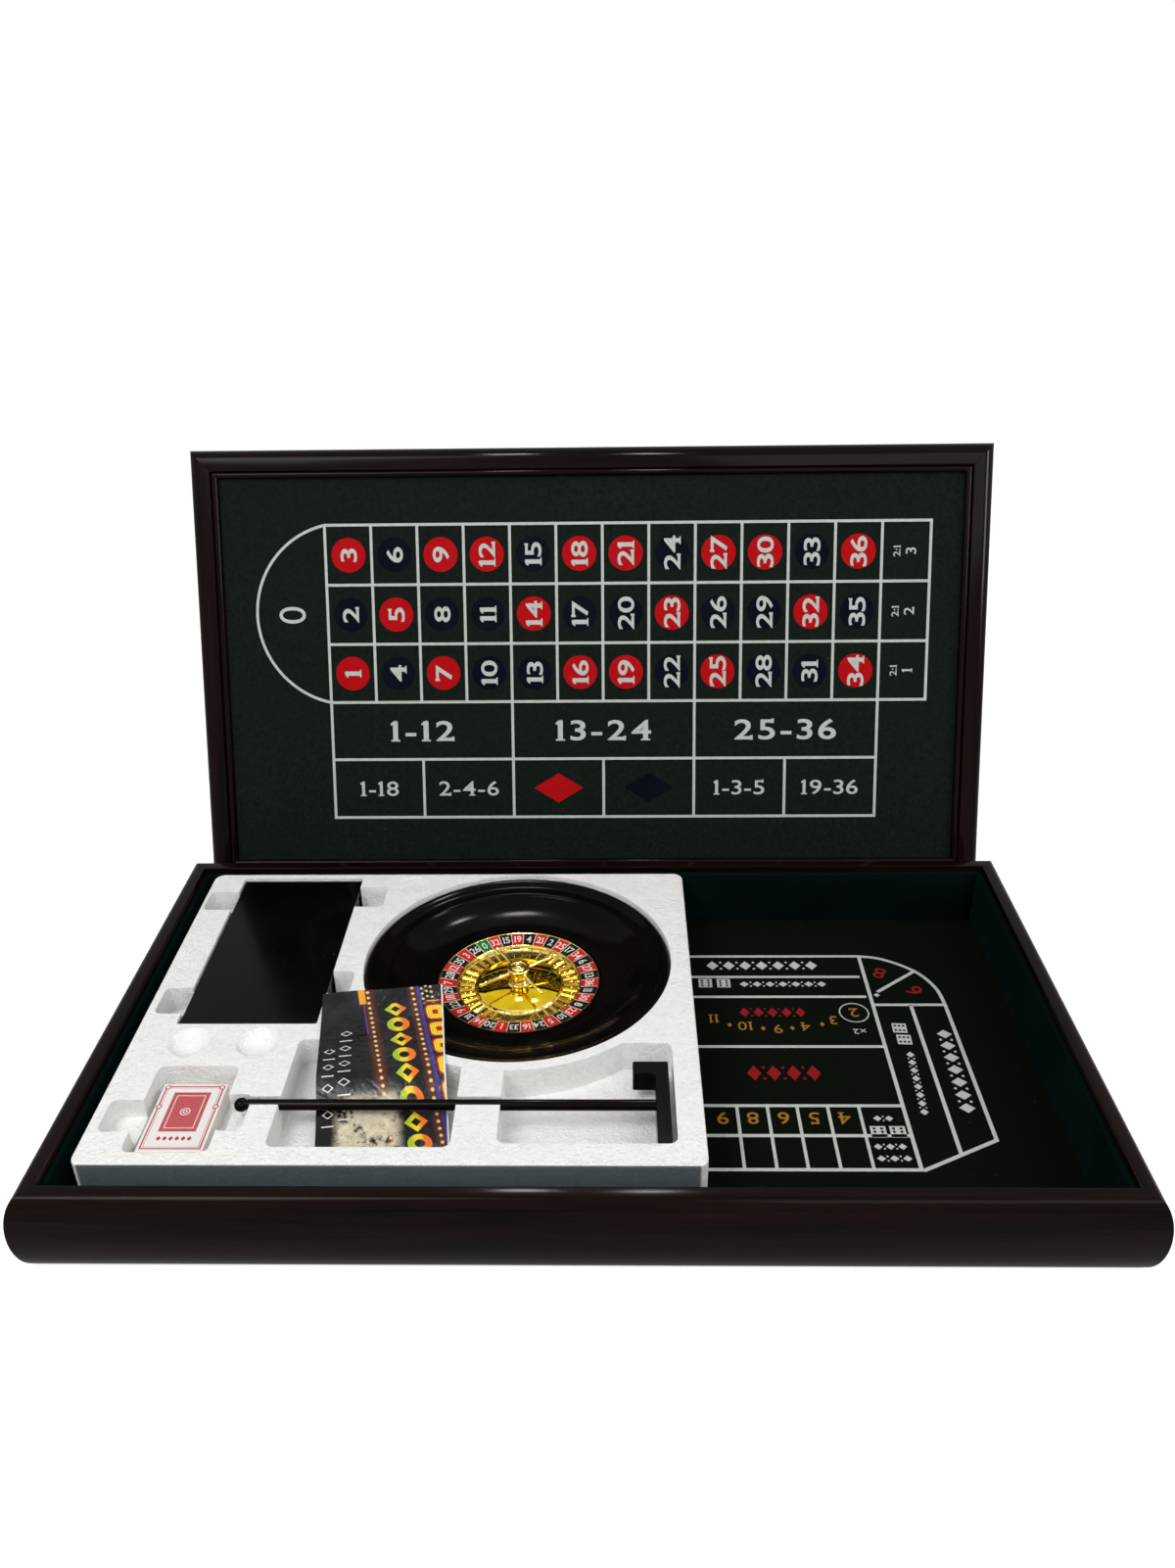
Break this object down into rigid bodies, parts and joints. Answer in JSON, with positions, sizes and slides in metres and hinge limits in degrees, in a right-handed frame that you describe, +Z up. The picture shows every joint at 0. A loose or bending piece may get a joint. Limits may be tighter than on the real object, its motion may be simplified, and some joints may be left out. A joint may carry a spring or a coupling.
{
  "type": "roulette set case",
  "caption": "Hinged wooden game case standing open: green roulette layout in the lid, foam tray with a roulette wheel, chip box, cards and rake beside a second printed layout.",
  "frame": {"origin": "centre of the case's flat underside, on the table", "axes": "+X to the right along the long side, +Y to the back where the lid is hinged, +Z up"},
  "size_m": [1.039, 0.8469, 0.5492],
  "materials": {
    "case_lacquer": "gloss lacquer",
    "lid_lacquer": "gloss lacquer",
    "bead_lacquer": "gloss lacquer",
    "joint_wood": "bare",
    "base_wood": "satin lacquer",
    "screw_steel": "zinc plated",
    "floor_baize": "napped cloth, printed",
    "lid_baize": "napped cloth, printed",
    "wall_velvet": "velvet",
    "hinge_brass": "satin",
    "lid_panel_wood": "satin lacquer",
    "white_foam": "moulded bead foam",
    "black_lacquer": "high gloss",
    "chip_red": "moulded",
    "chip_blue": "moulded",
    "chip_white": "moulded",
    "carton_board": "printed board",
    "card_stock": "coated paper",
    "wheel_black": "high gloss",
    "spindle_steel": "ground",
    "number_label": "printed label",
    "wheel_gold": "mirror plated",
    "booklet_cover": "printed, varnished",
    "booklet_paper": "paper",
    "rake_wood": "gloss lacquer"
  },
  "bodies": {
    "case": {"case_rail_front": "case_lacquer", "case_rail_back": "case_lacquer", "case_rail_left": "case_lacquer", "case_rail_right": "case_lacquer", "case_corner_splines": "joint_wood", "base_board": "base_wood", "base_screws": "screw_steel", "floor_cloth": "floor_baize", "wall_pad_front": "wall_velvet", "wall_pad_back": "wall_velvet", "wall_pad_left": "wall_velvet", "wall_pad_right": "wall_velvet", "case_hinge_leaf_left": "hinge_brass", "case_hinge_leaf_right": "hinge_brass", "hinge_pin_left": "hinge_brass", "hinge_pin_right": "hinge_brass", "case_hinge_screws": "hinge_brass"},
    "lid": {"lid_rail_front": "lid_lacquer", "lid_rail_back": "lid_lacquer", "lid_rail_left": "lid_lacquer", "lid_rail_right": "lid_lacquer", "lid_corner_splines": "joint_wood", "lid_panel": "lid_panel_wood", "lid_cloth": "lid_baize", "lid_bead_front": "bead_lacquer", "lid_bead_back": "bead_lacquer", "lid_bead_left": "bead_lacquer", "lid_bead_right": "bead_lacquer", "lid_hinge_strap_left": "hinge_brass", "lid_hinge_strap_right": "hinge_brass", "lid_hinge_screws": "hinge_brass"},
    "tray": {"foam_tray": "white_foam"},
    "chip_box": {"chip_box_base": "black_lacquer", "chip_box_dividers": "black_lacquer", "chips_red": "chip_red", "chips_blue": "chip_blue", "chips_white": "chip_white"},
    "chip_box_cover": {"chip_box_lid": "black_lacquer"},
    "card_pack": {"card_carton": "carton_board", "card_deck": "card_stock"},
    "wheel": {"wheel_bowl": "wheel_black", "wheel_spindle": "spindle_steel"},
    "rotor": {"rotor_body": "wheel_black", "number_ring": "number_label", "pocket_ring": "wheel_gold", "centre_disc": "wheel_gold", "rotor_bush": "hinge_brass", "turret_hub": "wheel_gold", "turret_arms": "wheel_gold", "turret_cap": "wheel_gold"},
    "booklet": {"booklet_cover": "booklet_cover", "booklet_pages": "booklet_paper"},
    "rake": {"rake_rod": "rake_wood", "rake_knob": "rake_wood", "rake_head": "rake_wood"}
  },
  "joints": [
    {"name": "lid_hinge", "type": "hinge", "parent": "case", "child": "lid", "pos_m": [0, 0.28685, 0.02915], "axis": [-1, 0, 0], "range_deg": [-109.5, 0]},
    {"name": "tray_lift", "type": "slide", "parent": "case", "child": "tray", "axis": [0, 0, 1], "range_m": [0, 0.1]},
    {"name": "chip_box_lift", "type": "slide", "parent": "tray", "child": "chip_box", "axis": [0, 0, 1], "range_m": [0, 0.085]},
    {"name": "chip_cover_lift", "type": "slide", "parent": "chip_box", "child": "chip_box_cover", "axis": [0, 0, 1], "range_m": [0, 0.035]},
    {"name": "card_pack_lift", "type": "slide", "parent": "tray", "child": "card_pack", "axis": [0, 0, 1], "range_m": [0, 0.05]},
    {"name": "wheel_lift", "type": "slide", "parent": "tray", "child": "wheel", "axis": [0, 0, 1], "range_m": [0, 0.085]},
    {"name": "rotor_spin", "type": "hinge", "parent": "wheel", "child": "rotor", "pos_m": [-0.081, 0.0793, 0.046], "axis": [0, 0, 1], "continuous": true},
    {"name": "booklet_lift", "type": "slide", "parent": "wheel", "child": "booklet", "axis": [0, 0, 1], "range_m": [0, 0.055]},
    {"name": "rake_lift", "type": "slide", "parent": "booklet", "child": "rake", "axis": [0, 0, 1], "range_m": [0, 0.05]}
  ]
}
